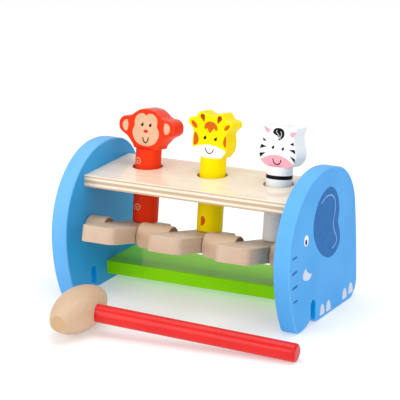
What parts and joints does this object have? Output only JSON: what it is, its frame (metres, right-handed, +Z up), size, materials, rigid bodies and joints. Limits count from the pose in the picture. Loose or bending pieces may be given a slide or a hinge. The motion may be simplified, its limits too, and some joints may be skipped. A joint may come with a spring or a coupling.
{
  "type": "peg pounding bench",
  "caption": "Wooden pounding bench with elephant side panels: striking a lever throws an animal peg up through the drilled top board; a mallet lies in front.",
  "frame": {"origin": "middle of the set's outline on the floor, with bench and mallet together", "axes": "+X along the bench to its right end, +Y to the back, +Z up"},
  "size_m": [0.2542, 0.228, 0.1614],
  "materials": {
    "blue_paint": "satin paint on MDF",
    "lacquered_plywood": "clear lacquer on birch plywood",
    "green_paint": "satin paint on MDF",
    "dowel_wood": "plain birch dowel",
    "bright_steel": "bright drawn",
    "beech": "clear lacquer",
    "red_paint": "gloss paint",
    "yellow_paint": "gloss paint",
    "white_paint": "gloss paint",
    "mallet_beech": "clear lacquer",
    "handle_paint": "gloss paint"
  },
  "bodies": {
    "bench": {"left_panel": "blue_paint", "right_panel": "blue_paint", "top_board": "lacquered_plywood", "base_board": "green_paint", "top_board_dowels": "dowel_wood", "base_board_dowels": "dowel_wood", "axle_rod": "bright_steel", "stop_rod": "bright_steel", "left_end_spacer": "beech", "left_spacer": "beech", "right_spacer": "beech", "right_end_spacer": "beech"},
    "left_lever": {"left_lever": "beech"},
    "monkey_figure": {"monkey_peg": "red_paint", "monkey_head": "red_paint", "monkey_neck_pin": "dowel_wood"},
    "middle_lever": {"middle_lever": "beech"},
    "giraffe_figure": {"giraffe_peg": "yellow_paint", "giraffe_head": "yellow_paint", "giraffe_neck_pin": "dowel_wood"},
    "right_lever": {"right_lever": "beech"},
    "zebra_figure": {"zebra_peg": "white_paint", "zebra_head": "white_paint", "zebra_neck_pin": "dowel_wood"},
    "mallet": {"mallet_head": "mallet_beech", "mallet_handle": "handle_paint"}
  },
  "joints": [
    {"name": "left_lever_swing", "type": "hinge", "parent": "bench", "child": "left_lever", "pos_m": [-0.07721, 0.01984, 0.058], "axis": [1, 0, 0], "range_deg": [0, 46]},
    {"name": "monkey_pop", "type": "slide", "parent": "bench", "child": "monkey_figure", "axis": [0, 0.1392, 0.9903], "range_m": [0, 0.061]},
    {"name": "middle_lever_swing", "type": "hinge", "parent": "bench", "child": "middle_lever", "pos_m": [-0.0141, 0.01984, 0.058], "axis": [1, 0, 0], "range_deg": [0, 46]},
    {"name": "giraffe_pop", "type": "slide", "parent": "bench", "child": "giraffe_figure", "axis": [0, 0.1392, 0.9903], "range_m": [0, 0.061]},
    {"name": "right_lever_swing", "type": "hinge", "parent": "bench", "child": "right_lever", "pos_m": [0.04901, 0.01984, 0.058], "axis": [1, 0, 0], "range_deg": [0, 46]},
    {"name": "zebra_pop", "type": "slide", "parent": "bench", "child": "zebra_figure", "axis": [0, 0.1392, 0.9903], "range_m": [0, 0.061]},
    {"name": "mallet_lift", "type": "slide", "parent": "bench", "child": "mallet", "axis": [0, 0, 1], "range_m": [0, 0.15]}
  ],
  "couplings": [
    {"joint": "monkey_pop", "follows": "left_lever_swing", "m_per_rad": 0.075},
    {"joint": "giraffe_pop", "follows": "middle_lever_swing", "m_per_rad": 0.075},
    {"joint": "zebra_pop", "follows": "right_lever_swing", "m_per_rad": 0.075}
  ]
}
